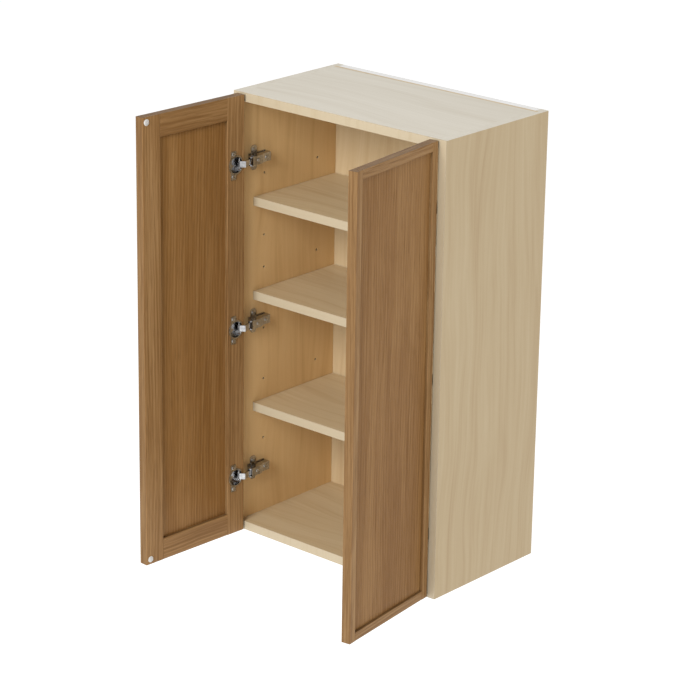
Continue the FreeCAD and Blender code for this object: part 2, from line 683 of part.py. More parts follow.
def link_pattern():
    """Bent link, as it lies with the door shut, level z = 0 at mid height."""
    body = new_body("link_pattern")
    half, eye, rise = size("link_half_width"), size("link_eye_radius"), size("link_half_height")
    arm_x, arm_y, cup_x, cup_y = arm_pivot_x, arm_pivot_y, cup_pivot_x, cup_pivot_y
    bend_x, tip_x = board + size("link_bend_rise"), cup_x + size("link_tip_reach")
    bend_y = cup_y - size("link_tip_drop")
    plate = new_sketch(body, "XY_Plane", -rise)
    draw_polygon(plate, [
        (arm_x - half, arm_y + half), (arm_x - half * 2, arm_y), (bend_x - half, bend_y + half),
        (tip_x + half, bend_y + half), (cup_x + half, cup_y), (cup_x - half, cup_y - half),
        (tip_x - half, bend_y - half), (bend_x + half, bend_y - half), (arm_x + half, arm_y),
    ])
    pad(body, plate, rise * 2)
    for x, y in ((arm_x, arm_y), (cup_x, cup_y)):
        barrel = new_sketch(body, "XY_Plane", -rise)
        draw_circle(barrel, x, y, eye)
        pad(body, barrel, rise * 2)
    holes = [(arm_x, arm_y), (cup_x, cup_y)]
    bores(body, "XY_Plane", -rise, holes, size("link_pin_radius") + size("link_pin_play"),
          rise * 2, True)
    return body


def arm_pattern():
    """Hinge arm: a channel open towards the side panel, its nose holding the link's pin."""
    body = new_body("arm_pattern")
    nose, half, wall = size("arm_nose_radius"), size("arm_half_width"), size("arm_wall")
    pivot_x, pivot_y = arm_pivot_x, arm_pivot_y
    foot = board + size("arm_foot_height")
    top, front, end = pivot_x + nose, pivot_y - nose, size("arm_length")
    step, tail = size("arm_step_place"), board + size("arm_tail_height")
    nose_foot, slope = pivot_x - nose, size("arm_slope_length")
    past_end = end + size("cut_overrun")
    outline = new_sketch(body, "XY_Plane", -half)
    draw_polygon(outline, [
        (nose_foot, front + nose / 2), (nose_foot + nose / 2, front), (top - nose / 2, front),
        (top, front + nose / 2), (top, step), (tail, step + slope), (tail, end), (foot, end),
        (foot, size("plate_bar_start")), (nose_foot, pivot_y + nose / 2),
    ])
    pad(body, outline, half * 2)
    # The channel leaves a web along the inward side and stays open at nose and foot.
    channel = new_sketch(body, "XY_Plane", wall - half)
    draw_polygon(channel, [
        (board, 0), (top - wall, 0), (top - wall, step), (tail - wall, step + slope),
        (tail - wall, past_end), (board, past_end),
    ])
    pocket(body, channel, (half - wall) * 2, along_normal=True)
    # The web starts behind the nose, where it would meet the swinging link.
    mouth = new_sketch(body, "XY_Plane", wall - half)
    draw_rectangle(mouth, pivot_x, 0, top + size("cut_overrun"), pivot_y)
    pocket(body, mouth, (half - wall) * 2, along_normal=True)
    bores(body, "XY_Plane", -half, [(pivot_x, pivot_y)], size("link_pin_radius") + size("cup_play"),
          half * 2, True)
    bore = size("adjuster_radius") + size("screw_play")
    for place, face in ((size("adjuster_front_place"), top), (size("adjuster_rear_place"), tail)):
        bores(body, "YZ_Plane", face, [(place, 0)], bore, wall * 2, False)
    return body


def plate_pattern():
    """Mounting plate: a bar under the arm and a cross wing with the two screws."""
    body = new_body("plate_pattern")
    half_bar = size("plate_bar_half_width")
    start, end = size("plate_bar_start"), size("plate_bar_end")
    bar = new_sketch(body, "YZ_Plane", board)
    draw_rectangle(bar, start, -half_bar, end, half_bar)
    pad(body, bar, size("arm_foot_height"))
    half_long = size("plate_wing_length") / 2
    low = size("plate_wing_place") - size("plate_wing_width") / 2
    high = size("plate_wing_place") + size("plate_wing_width") / 2
    corner = size("plate_wing_width") / 4
    wing = new_sketch(body, "YZ_Plane", board)
    draw_polygon(wing, [
        (low, -half_long + corner), (low + corner, -half_long), (high - corner, -half_long),
        (high, -half_long + corner), (high, half_long - corner), (high - corner, half_long),
        (low + corner, half_long), (low, half_long - corner),
    ])
    pad(body, wing, size("plate_wing_thick"))
    holes = [(size("plate_wing_place"), size("plate_screw_spacing") / 2 * sign)
             for sign in (-1, 1)]
    bore = size("plate_screw_radius") + size("screw_play")
    bores(body, "YZ_Plane", board, holes, bore, size("arm_foot_height"), True)
    return body


def hinges():
    cup, link, arm, plate = cup_pattern(), link_pattern(), arm_pattern(), plate_pattern()
    cup_screw = screw("cup_screw_pattern", size("cup_screw_radius"), size("cup_screw_length"),
                      size("cup_screw_head_radius"), size("cup_screw_head"))
    plate_screw = screw("plate_screw_pattern", size("plate_screw_radius"),
                        size("plate_screw_length"), size("plate_screw_head_radius"),
                        size("plate_screw_head"))
    adjuster = screw("adjuster_pattern", size("adjuster_radius"), size("adjuster_length"),
                     size("adjuster_head_radius"), size("adjuster_head"))
    arm_half, pin_radius = size("arm_half_width"), size("link_pin_radius")
    arm_pin = turned("arm_pin_pattern", [
        (0, -arm_half), (pin_radius, -arm_half), (pin_radius, arm_half), (0, arm_half),
    ])
    # The cup pin ends just short of the drum's wall on both sides.
    wall_reach = size("cup_radius") - size("cup_wall") - size("link_pin_play")
    pin_outer_edge = cup_centre - size("cup_pivot_edge") + pin_radius
    pin_half = root(wall_reach * wall_reach - pin_outer_edge * pin_outer_edge)
    cup_pin = turned("cup_pin_pattern", [
        (0, -pin_half), (pin_radius, -pin_half), (pin_radius, pin_half), (0, pin_half),
    ])
    top = arm_pivot_x + size("arm_nose_radius") + size("adjuster_head")
    tail = board + size("arm_tail_height") + size("adjuster_head")
    face = board + size("plate_wing_thick") + size("plate_screw_head")
    flange_face = size("flange_thick") + size("cup_screw_head")
    for side, frame in SIDES.items():
        levels = [side_height(side, level) for level in hinge_heights]
        at_arm = [frame * shift(0, 0, level) for level in levels]
        cup_levels = [level - size("door_end_reveal") for level in levels]
        at_cup = [frame * DOOR_REST[side] * shift(cup_centre, door_thick, level) * POINT_PLUS_Y
                  for level in cup_levels]
        group(f"{side}_hinge_arms", arm, at_arm)
        group(f"{side}_hinge_plates", plate, at_arm)
        group(f"{side}_hinge_outer_links", link, [place * LINK_REST[side] for place in at_arm])
        arm_place = Placement(ARM_PIVOT, Rotation())
        group(f"{side}_hinge_arm_pins", arm_pin, [place * arm_place for place in at_arm])
        cup_place = Placement(CUP_PIVOT_REST[side], Rotation())
        group(f"{side}_hinge_cup_pins", cup_pin, [place * cup_place for place in at_arm])
        group(f"{side}_hinge_cups", cup, at_cup)
        spread = size("cup_screw_spacing") / 2
        group(f"{side}_hinge_cup_screws", cup_screw,
              [place * shift(size("wing_offset"), spread * sign, flange_face)
               for place in at_cup for sign in (-1, 1)])
        spread = size("plate_screw_spacing") / 2
        group(f"{side}_hinge_plate_screws", plate_screw,
              [place * shift(face, size("plate_wing_place"), spread * sign) * POINT_PLUS_X
               for place in at_arm for sign in (-1, 1)])
        spots = ((top, size("adjuster_front_place")), (tail, size("adjuster_rear_place")))
        group(f"{side}_hinge_adjusting_screws", adjuster,
              [place * shift(x, y, 0) * POINT_PLUS_X for place in at_arm for x, y in spots])


# ---------------------------------------------------------------- build, check and write
for side in SIDES:
    side_panel(side)
end_panel("bottom_panel", as_size(0))
end_panel("top_panel", height - board)
back_and_rails()
carcass_bands()
shelves()
carcass_fixings()
for side in SIDES:
    door(side)
hinges()
doc.recompute()

for thing in doc.Objects:
    if "Invalid" in thing.State or "Error" in thing.State:
        raise RuntimeError(f"{thing.Name} failed: {thing.State}")
os.makedirs("parts", exist_ok=True)
for thing in NODES:
    if thing.Shape.isNull() or not thing.Shape.isValid() or not thing.Shape.Solids:
        raise RuntimeError(f"{thing.Label} has no valid solid")
for thing in NODES:
    thing.Shape.exportStep(os.path.join("parts", f"{thing.Label}.step"))
print(f"{len(NODES)} nodes written")
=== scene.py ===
import json
import math

import bmesh
import bpy
import numpy as np
from mathutils import Matrix, Vector

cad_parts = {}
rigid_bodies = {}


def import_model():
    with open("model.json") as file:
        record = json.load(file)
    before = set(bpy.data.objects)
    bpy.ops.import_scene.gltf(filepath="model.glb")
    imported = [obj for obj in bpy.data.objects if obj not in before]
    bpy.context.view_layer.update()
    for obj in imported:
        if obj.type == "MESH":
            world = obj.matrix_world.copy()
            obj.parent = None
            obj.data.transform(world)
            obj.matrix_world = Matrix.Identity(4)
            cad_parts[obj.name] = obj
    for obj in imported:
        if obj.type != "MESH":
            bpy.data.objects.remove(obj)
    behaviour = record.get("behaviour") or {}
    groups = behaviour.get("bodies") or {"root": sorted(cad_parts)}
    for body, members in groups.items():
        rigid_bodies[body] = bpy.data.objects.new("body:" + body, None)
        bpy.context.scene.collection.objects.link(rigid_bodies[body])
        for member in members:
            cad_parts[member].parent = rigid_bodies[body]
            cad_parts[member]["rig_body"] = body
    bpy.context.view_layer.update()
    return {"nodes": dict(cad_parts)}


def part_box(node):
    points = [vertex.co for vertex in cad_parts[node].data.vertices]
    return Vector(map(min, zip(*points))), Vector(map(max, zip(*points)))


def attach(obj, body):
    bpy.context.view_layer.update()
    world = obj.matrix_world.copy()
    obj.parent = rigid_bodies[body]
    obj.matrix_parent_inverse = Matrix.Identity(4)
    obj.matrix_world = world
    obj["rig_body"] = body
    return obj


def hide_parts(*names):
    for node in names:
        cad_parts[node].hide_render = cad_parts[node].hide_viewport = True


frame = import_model()
nodes = frame["nodes"]
X, Y, Z = Vector((1, 0, 0)), Vector((0, 1, 0)), Vector((0, 0, 1))
MM = 0.001

# ------------------------------------------------------------------ carcass boards
# The two sides, the top and the bottom: 18 mm particle board with a maple-look melamine face.
# They are sawn square, so each edge keeps only a hair of a round, and the grain runs up the
# sides and along the top and bottom.
BOARD_ROUND = 0.5 * MM
BOARD_BUMP, BOARD_SHINE = 0.05, 0.22
WELD_DISTANCE = 0.002 * MM          # corners closer than this are one corner
FLAT_ANGLE = math.radians(0.4)      # triangles within this angle form one flat face
EASED_ANGLE = math.radians(32)      # edges sharper than this are rounded
GRAIN_RELIEF = 0.4 * MM
FACE_SHEET = 0.4 * MM
MAPLE_PALE, MAPLE_MIDDLE, MAPLE_DEEP = (
    (0.460, 0.364, 0.228), (0.430, 0.330, 0.198), (0.375, 0.270, 0.152))
# Warmer, brighter maple for the left side's inner face: painted warm bounce light.
BOUNCE_LIT_PALE, BOUNCE_LIT_MIDDLE, BOUNCE_LIT_DEEP = (
    (0.665, 0.452, 0.218), (0.628, 0.414, 0.191), (0.540, 0.336, 0.145))
# Brighter maple for the inside pieces: painted light against the shade inside the cabinet.
INSIDE_LIT_PALE, INSIDE_LIT_MIDDLE, INSIDE_LIT_DEEP = (
    (0.530, 0.415, 0.256), (0.495, 0.376, 0.223), (0.428, 0.302, 0.166))
# Greyer, paler maple for the upward faces: painted sheen.
SHEEN_TOP_PALE, SHEEN_TOP_MIDDLE, SHEEN_TOP_DEEP = (
    (0.585, 0.545, 0.465), (0.556, 0.514, 0.432), (0.508, 0.457, 0.370))


def merged_mesh(name, node):
    """The CAD node's triangles joined into one skin with whole flat faces."""
    build = bmesh.new()
    build.from_mesh(nodes[node].data)
    bmesh.ops.remove_doubles(build, verts=build.verts, dist=WELD_DISTANCE)
    bmesh.ops.dissolve_limit(build, angle_limit=FLAT_ANGLE, verts=build.verts,
                             edges=build.edges)
    mesh = bpy.data.meshes.new(name)
    build.to_mesh(mesh)
    build.free()
    return mesh


def new_piece(name, mesh):
    piece = bpy.data.objects.new(name, mesh)
    bpy.context.scene.collection.objects.link(piece)
    return piece


def settle(piece):
    """Turn the piece's modifiers into its own plain mesh."""
    evaluated = piece.evaluated_get(bpy.context.evaluated_depsgraph_get())
    mesh = bpy.data.meshes.new_from_object(evaluated)
    mesh.name = piece.name
    piece.modifiers.clear()
    piece.data = mesh
    return piece


def eased_piece(name, node, width, segments=2):
    """A copy of a CAD node with its sharp edges eased, kept inside the node's own box."""
    piece = new_piece(name, merged_mesh(name, node))
    for polygon in piece.data.polygons:
        polygon.use_smooth = True
    ease = piece.modifiers.new("ease", "BEVEL")
    ease.width, ease.segments = width, segments
    ease.limit_method, ease.angle_limit = "ANGLE", EASED_ANGLE
    ease.use_clamp_overlap = True
    piece.modifiers.new("even", "WEIGHTED_NORMAL")
    settle(piece)
    low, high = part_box(node)
    for vertex in piece.data.vertices:
        vertex.co = [min(max(place, least), most)
                     for place, least, most in zip(vertex.co, low, high)]
    return piece


def finish_piece(piece, node, material):
    """Give the piece its material, its body and its record slot, in place of the CAD node."""
    piece.data.materials.clear()
    piece.data.materials.append(material)
    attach(piece, nodes[node]["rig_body"])
    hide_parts(node)


def add_node(tree, kind, inputs=(), **settings):
    """A shader or geometry node; inputs are (socket, value or other node's output) pairs."""
    made = tree.nodes.new(kind)
    for key, value in settings.items():
        setattr(made, key, value)
    for key, value in dict(inputs).items():
        if isinstance(value, bpy.types.NodeSocket):
            tree.links.new(value, made.inputs[key])
        else:
            made.inputs[key].default_value = value
    return made


def math_node(tree, operation, first, second=0.0):
    return add_node(tree, "ShaderNodeMath", {0: first, 1: second}, operation=operation).outputs[0]


def noise_node(tree, vector, scale, detail=3.0, roughness=0.5, distortion=0.0):
    return add_node(tree, "ShaderNodeTexNoise", {
        "Vector": vector, "Scale": scale, "Detail": detail, "Roughness": roughness,
        "Distortion": distortion}).outputs["Fac"]


def stretched(tree, vector, across, along):
    """Pattern coordinates drawn out along the grain, which is the z of the wood's own frame."""
    return add_node(tree, "ShaderNodeMapping", {
        "Vector": vector, "Scale": (across, across, along)}).outputs[0]


def tone_ramp(tree, factor, stops):
    ramp = add_node(tree, "ShaderNodeValToRGB", {"Fac": factor})
    elements = ramp.color_ramp.elements
    while len(elements) < len(stops):
        elements.new(0.5)
    for element, (place, colour) in zip(elements, stops):
        element.position = place
        element.color = (*colour, 1.0)
    return ramp.outputs[0]


def grey(level):
    return (level, level, level)


def mixed(tree, factor, first, second, blend_type="MIX"):
    mix = tree.nodes.new("ShaderNodeMix")
    mix.data_type, mix.blend_type = "RGBA", blend_type
    for socket, value in ((mix.inputs[0], factor), (mix.inputs[6], first), (mix.inputs[7], second)):
        if isinstance(value, bpy.types.NodeSocket):
            tree.links.new(value, socket)
        elif isinstance(value, tuple):
            socket.default_value = (*value, 1.0)
        else:
            socket.default_value = value
    return mix.outputs[2]


def pattern_group(name):
    """An empty pattern group: wood-frame coordinates in, colour, roughness and height out."""
    group = bpy.data.node_groups.new(name, "ShaderNodeTree")
    group.interface.new_socket("Vector", in_out="INPUT", socket_type="NodeSocketVector")
    group.interface.new_socket("Color", in_out="OUTPUT", socket_type="NodeSocketColor")
    group.interface.new_socket("Roughness", in_out="OUTPUT", socket_type="NodeSocketFloat")
    group.interface.new_socket("Height", in_out="OUTPUT", socket_type="NodeSocketFloat")
    return group, group.nodes.new("NodeGroupInput").outputs[0], group.nodes.new("NodeGroupOutput")


def maple_pattern(name, pale, middle, deep):
    """Printed maple: broad soft figure, faint fine lines and small flecks."""
    group, vector, out = pattern_group(name)
    sway = noise_node(group, stretched(group, vector, 1.0, 0.35), 4.0, 2.0)
    bent = add_node(group, "ShaderNodeVectorMath", {
        0: vector, 1: add_node(group, "ShaderNodeCombineXYZ", {
            0: math_node(group, "MULTIPLY", math_node(group, "SUBTRACT", sway, 0.5), 0.16),
        }).outputs[0]}, operation="ADD").outputs[0]
    figure = noise_node(group, stretched(group, bent, 1.0, 0.05), 42.0, 4.0, 0.55, 0.4)
    lines = noise_node(group, stretched(group, bent, 1.0, 0.02), 190.0, 3.0, 0.6)
    flecks = noise_node(group, stretched(group, vector, 1.0, 0.10), 420.0, 2.0, 0.5)
    tone = math_node(group, "ADD", math_node(group, "MULTIPLY", figure, 0.66),
                     math_node(group, "MULTIPLY", lines, 0.34))
    colour = tone_ramp(group, tone, [(0.34, pale), (0.52, middle), (0.72, deep)])
    spots = tone_ramp(group, flecks, [(0.60, grey(0.0)), (0.72, grey(1.0))])
    colour = mixed(group, math_node(group, "MULTIPLY", spots, 0.20), colour, deep)
    group.links.new(colour, out.inputs["Color"])
    rough = math_node(group, "ADD", math_node(group, "MULTIPLY", lines, 0.14), 0.36)
    group.links.new(rough, out.inputs["Roughness"])
    group.links.new(lines, out.inputs["Height"])
    return group


def wood_material(name, group, grain, face, centre, bump, **shader):
    """A piece's own wood: grain and face turn the pattern, centre shifts it to a fresh place."""
    material = bpy.data.materials.new(name)
    material.use_nodes = True
    tree = material.node_tree
    surface = tree.nodes["Principled BSDF"]
    turned = Matrix((face.cross(grain), face, grain))
    place = add_node(tree, "ShaderNodeMapping", {
        "Vector": add_node(tree, "ShaderNodeTexCoord").outputs["Object"],
        "Rotation": turned.to_euler(), "Location": tuple(-(turned @ centre))})
    pattern = add_node(tree, "ShaderNodeGroup", node_tree=group)
    tree.links.new(place.outputs[0], pattern.inputs[0])
    tree.links.new(pattern.outputs["Color"], surface.inputs["Base Color"])
    tree.links.new(pattern.outputs["Roughness"], surface.inputs["Roughness"])
    relief = add_node(tree, "ShaderNodeBump", {
        "Height": pattern.outputs["Height"], "Strength": bump, "Distance": GRAIN_RELIEF})
    tree.links.new(relief.outputs[0], surface.inputs["Normal"])
    for socket, value in shader.items():
        surface.inputs[socket.replace("_", " ")].default_value = value
    return material


maple = maple_pattern("maple_face", MAPLE_PALE, MAPLE_MIDDLE, MAPLE_DEEP)
# The left side's inner face gets a warmer, brighter copy of the same maple: painted warm bounce
# light inside the cabinet.
maple_bounce_lit = maple_pattern("maple_warm_face", BOUNCE_LIT_PALE, BOUNCE_LIT_MIDDLE, BOUNCE_LIT_DEEP)
# The shelves, the bottom and the back get a paler, brighter copy of the same maple: painted light
# that makes up for the shade inside the cabinet.
maple_lit_inside = maple_pattern("maple_pale_face", INSIDE_LIT_PALE, INSIDE_LIT_MIDDLE, INSIDE_LIT_DEEP)
# The top and the sides' upper ends get a greyer, paler copy of the same maple: a painted sheen on
# the faces that look up.
maple_top_sheen = maple_pattern("maple_top_face", SHEEN_TOP_PALE, SHEEN_TOP_MIDDLE, SHEEN_TOP_DEEP)


def paint_light_on_face(material, group, axis, face_place):
    """Paints light on the face that lies at face_place, the high end of an axis, with another
    sheet's colour.
    """
    tree = material.node_tree
    surface = tree.nodes["Principled BSDF"]
    first = surface.inputs["Base Color"].links[0].from_socket
    sheet = add_node(tree, "ShaderNodeGroup", node_tree=group)
    tree.links.new(tree.nodes["Mapping"].outputs[0], sheet.inputs[0])
    along = add_node(tree, "ShaderNodeSeparateXYZ", {
        0: add_node(tree, "ShaderNodeTexCoord").outputs["Object"]}).outputs[axis]
    on_face = math_node(tree, "GREATER_THAN", along, face_place - FACE_SHEET)
    colour = mixed(tree, on_face, first, sheet.outputs["Color"])
    tree.links.new(colour, surface.inputs["Base Color"])


for node, grain, face, pattern, shift in (
    ("side_panel_left", Z, X, maple, Vector((0.3, 0.11, 0.7))),
    ("side_panel_right", Z, X, maple, Vector((0.0, 0.0, 0.0))),
    # The top takes the maple copy with the painted sheen.
    ("top_panel", X, Z, maple_top_sheen, Vector((0.4, 0.2, 0.0))),
    # The bottom takes the brighter inside copy of the maple: painted light.
    ("bottom_panel", X, Z, maple_lit_inside, Vector((0.9, 0.5, 0.0))),
):
    board = eased_piece(f"{node}_board", node, BOARD_ROUND)
    finish = wood_material(f"{node}_maple", pattern, grain, face, shift, BOARD_BUMP,
                           Specular_IOR_Level=BOARD_SHINE)
    if node == "side_panel_left":
        # Painted warm bounce light on the left side's inner face.
        paint_light_on_face(finish, maple_bounce_lit, "X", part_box(node)[1].x)
    if node.startswith("side_panel"):
        # The sides' upper ends get the painted sheen too.
        paint_light_on_face(finish, maple_top_sheen, "Z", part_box(node)[1].z)
    finish_piece(board, node, finish)

# ------------------------------------------------------------------ back and hanging rails
# The back is a 6 mm sheet with the same maple face, slid into grooves in the sides. Behind it
# two pale, unfaced rails take the wall screws; the top one shows as a strip along the top.
SHEET_ROUND = 0.3 * MM
RAW_WOOD_BUMP, RAW_WOOD_SHINE = 0.25, 0.25
back = eased_piece("back_panel_sheet", "back_panel", SHEET_ROUND)
# The back takes the brighter inside copy of the maple: painted light.
finish_piece(back, "back_panel",
             wood_material("back_panel_maple", maple_lit_inside, Z, Y, Vector((1.7, 0.3, 0.2)),
                           BOARD_BUMP, Specular_IOR_Level=BOARD_SHINE))
RAIL_PALE, RAIL_MIDDLE, RAIL_DEEP = (0.74, 0.74, 0.73), (0.70, 0.69, 0.67), (0.62, 0.60, 0.56)
raw_wood = maple_pattern("raw_rail_wood", RAIL_PALE, RAIL_MIDDLE, RAIL_DEEP)
for node, shift in (("hanging_rail_top", Vector((0.1, 0.4, 0.3))),
                    ("hanging_rail_bottom", Vector((1.2, 0.6, 0.1)))):
    rail = eased_piece(f"{node}_board", node, BOARD_ROUND)
    finish_piece(rail, node,
                 wood_material(f"{node}_wood", raw_wood, X, Y, shift, RAW_WOOD_BUMP,
                               Specular_IOR_Level=RAW_WOOD_SHINE))

# ------------------------------------------------------------------ edge bands
# A 1 mm cream band is glued to every front edge of the carcass and the shelves. It is plain
# and a little lighter than the faces, with trimmed corners.
BAND_ROUND, BAND_BUMP, BAND_SHINE = 0.25 * MM, 0.04, 0.3
BAND_PALE, BAND_DEEP = (0.405, 0.336, 0.230), (0.368, 0.294, 0.188)
band_pattern = maple_pattern("band_face", BAND_PALE, BAND_PALE, BAND_DEEP)
for node in ("carcass_edge_bands", "shelf_edge_bands"):
    band = eased_piece(f"{node}_strip", node, BAND_ROUND)
    grain = Z if node.startswith("carcass") else X
    finish_piece(band, node,
                 wood_material(f"{node}_cream", band_pattern, grain, Y, Vector((0.2, 0.1, 0.6)),
                               BAND_BUMP, Specular_IOR_Level=BAND_SHINE))

# ------------------------------------------------------------------ shelves
# Three loose shelves of the same board, grain along their length, lying on the pins.
# The shelves take the brighter inside copy of the maple: painted light.
FIRST_SHIFT, NEXT_SHIFT = Vector((0.37, 0.0, 0.0)), Vector((0.61, 0.23, 0.0))
for number, node in enumerate(("shelf_lower", "shelf_middle", "shelf_upper")):
    shelf = eased_piece(f"{node}_board", node, BOARD_ROUND)
    finish_piece(shelf, node,
                 wood_material(f"{node}_maple", maple_lit_inside, X, Z,
                               FIRST_SHIFT + NEXT_SHIFT * number, BOARD_BUMP,
                               Specular_IOR_Level=BOARD_SHINE))

# ------------------------------------------------------------------ turned fixings
# Shelf pins, dowels, cam bolts and screws are all small turned pieces, many of each. One
# pattern is turned for each kind of pin, dowel and screw and set into every place the CAD
# solids give; the cam locks and cam bolts are eased copies of their CAD solids.
METAL_SEGMENTS = 28
SHARP_TURN = math.radians(38)       # turned edges sharper than this stay crisp
END_SHARE = 0.12                    # the share of a piece's length that counts as its end
TINY = 1e-5


def turned_spots(node):
    """Each loose solid of a node of turned pieces: wide end, outward axis, length, radius."""
    build = bmesh.new()
    build.from_mesh(nodes[node].data)
    bmesh.ops.remove_doubles(build, verts=build.verts, dist=WELD_DISTANCE)
    spots, waiting = [], set(build.verts)
    while waiting:
        island, queue = [], [waiting.pop()]
        while queue:
            vertex = queue.pop()
            island.append(tuple(vertex.co))
            for edge in vertex.link_edges:
                other = edge.other_vert(vertex)
                if other in waiting:
                    waiting.remove(other)
                    queue.append(other)
        points = np.array(island)
        middle = (points.max(0) + points.min(0)) / 2
        rims = np.unique(points.round(6), axis=0) - middle
        values, axes = np.linalg.eigh(rims.T @ rims)
        odd = 0 if values[1] - values[0] > values[2] - values[1] else 2
        axis = axes[:, odd]
        along = rims @ axis
        across = np.linalg.norm(rims - np.outer(along, axis), axis=1)
        span = along.max() - along.min()
        high = across[along > along.max() - span * END_SHARE].max()
        low = across[along < along.min() + span * END_SHARE].max()
        if low > high + TINY:
            axis, along = -axis, -along
        elif abs(low - high) < TINY and axis.sum() < 0:
            axis, along = -axis, -along
        centre = (along.max() + along.min()) / 2
        top = middle + axis * (centre + span / 2)
        spots.append((Vector(top), Vector(axis), span, across.max()))
    build.free()
    return sorted(spots, key=lambda spot: tuple(round(value, 4) for value in spot[0]))


def turned_mesh(name, profile, segments=METAL_SEGMENTS):
    """A closed turned shape about z from (radius, height) points, first and last on the axis."""
    build = bmesh.new()
    rings = []
    for radius, height in profile:
        if radius == 0:
            rings.append([build.verts.new((0, 0, height))])
            continue
        rings.append([build.verts.new((radius * math.cos(turn), radius * math.sin(turn), height))
                      for turn in (2 * math.pi * step / segments for step in range(segments))])
    for lower, upper in zip(rings, rings[1:]):
        for step in range(segments):
            corners = [lower[step % len(lower)], lower[(step + 1) % len(lower)],
                       upper[(step + 1) % len(upper)], upper[step % len(upper)]]
            build.faces.new(list(dict.fromkeys(corners)))
    bmesh.ops.recalc_face_normals(build, faces=build.faces)
    mesh = bpy.data.meshes.new(name)
    build.to_mesh(mesh)
    build.free()
    mesh.shade_smooth()
    mesh.set_sharp_from_angle(angle=SHARP_TURN)
    return mesh


def cross_recess(piece, reach, half, depth):
    """Cut a cross driver recess into the top of a turned piece."""
    build = bmesh.new()
    for wide, deep in ((reach, half), (half, reach)):
        bmesh.ops.create_cube(build, size=1, matrix=Matrix.Diagonal((
            wide * 2, deep * 2, depth * 2, 1)))
    cutter_mesh = bpy.data.meshes.new("recess_cutter")
    build.to_mesh(cutter_mesh)
    build.free()
    cutter = new_piece("recess_cutter", cutter_mesh)
    cut = piece.modifiers.new("recess", "BOOLEAN")
    cut.operation, cut.solver, cut.object, cut.use_self = "DIFFERENCE", "EXACT", cutter, True
    settle(piece)
    bpy.data.objects.remove(cutter)


def fixing_tree():
    """Geometry nodes that set one pattern on every point, facing that point's own direction."""
    tree = bpy.data.node_groups.new("set_fixings", "GeometryNodeTree")
    tree.interface.new_socket("Geometry", in_out="OUTPUT", socket_type="NodeSocketGeometry")
    for label, kind in (("Places", "Geometry"), ("Pattern", "Object"), ("Scale", "Float"),
                        ("Seed", "Int"), ("Finish", "Material")):
        tree.interface.new_socket(label, in_out="INPUT", socket_type=f"NodeSocket{kind}")
    given = tree.nodes.new("NodeGroupInput").outputs
    pattern = add_node(tree, "GeometryNodeObjectInfo", {"Object": given["Pattern"]})
    facing = add_node(tree, "GeometryNodeInputNamedAttribute", {"Name": "facing"},
                      data_type="FLOAT_VECTOR")
    aligned = add_node(tree, "FunctionNodeAlignRotationToVector", {
        "Vector": facing.outputs["Attribute"]}, axis="Z")
    spin = add_node(tree, "FunctionNodeRandomValue", {"Seed": given["Seed"]}, data_type="FLOAT")
    spin.inputs[3].default_value = math.pi
    own_turn = add_node(tree, "FunctionNodeAxisAngleToRotation", {
        "Axis": (0, 0, 1), "Angle": spin.outputs[1]})
    turned = add_node(tree, "FunctionNodeRotateRotation", {
        "Rotation": aligned.outputs[0], "Rotate By": own_turn.outputs[0]}, rotation_space="LOCAL")
    placed = add_node(tree, "GeometryNodeInstanceOnPoints", {
        "Points": given["Places"], "Instance": pattern.outputs["Geometry"],
        "Rotation": turned.outputs[0], "Scale": given["Scale"]})
    whole = add_node(tree, "GeometryNodeRealizeInstances", {"Geometry": placed.outputs[0]})
    dressed = add_node(tree, "GeometryNodeSetMaterial", {
        "Geometry": whole.outputs[0], "Material": given["Finish"]})
    out = tree.nodes.new("NodeGroupOutput")
    tree.links.new(dressed.outputs[0], out.inputs[0])
    return tree


set_fixings = fixing_tree()


def set_in_places(name, node, pattern, spots, material, seed=1):
    """Put the pattern at every spot, as one mesh in place of the CAD node."""
    mesh = bpy.data.meshes.new(name)
    mesh.from_pydata([spot[0] for spot in spots], [], [])
    facing = mesh.attributes.new("facing", "FLOAT_VECTOR", "POINT")
    facing.data.foreach_set("vector", [value for spot in spots for value in spot[1]])
    piece = new_piece(name, mesh)
    setting = piece.modifiers.new("set_fixings", "NODES")
    setting.node_group = set_fixings
    values = {"Pattern": pattern, "Scale": 1.0, "Seed": seed, "Finish": material}
    for socket in set_fixings.interface.items_tree:
        if socket.in_out == "INPUT" and socket.name in values:
            setting[socket.identifier] = values[socket.name]
    settle(piece)
    bpy.data.objects.remove(pattern)
    finish_piece(piece, node, material)


def metal_material(name, colour, rough_low, rough_high, bump, wear_and_dark_reflection, grain_scale):
    """Plated steel: a cloudy sheen, fine drawing lines and a slightly duller tone, handled wear on
    the zinc and steel and a painted dark reflection on the nickel.
    """
    material = bpy.data.materials.new(name)
    material.use_nodes = True
    tree = material.node_tree
    surface = tree.nodes["Principled BSDF"]
    coords = add_node(tree, "ShaderNodeTexCoord").outputs["Object"]
    cloud = noise_node(tree, coords, 190.0, 3.0)
    fine = noise_node(tree, coords, grain_scale, 2.0, 0.6)
    surface.inputs["Metallic"].default_value = 1.0
    tone = tone_ramp(tree, cloud, [(0.35, wear_and_dark_reflection), (0.62, colour)])
    tree.links.new(tone, surface.inputs["Base Color"])
    span = math_node(tree, "MULTIPLY", cloud, rough_high - rough_low)
    tree.links.new(math_node(tree, "ADD", span, rough_low), surface.inputs["Roughness"])
    relief = add_node(tree, "ShaderNodeBump", {
        "Height": fine, "Strength": bump, "Distance": 0.05 * MM})
    tree.links.new(relief.outputs[0], surface.inputs["Normal"])
    return material


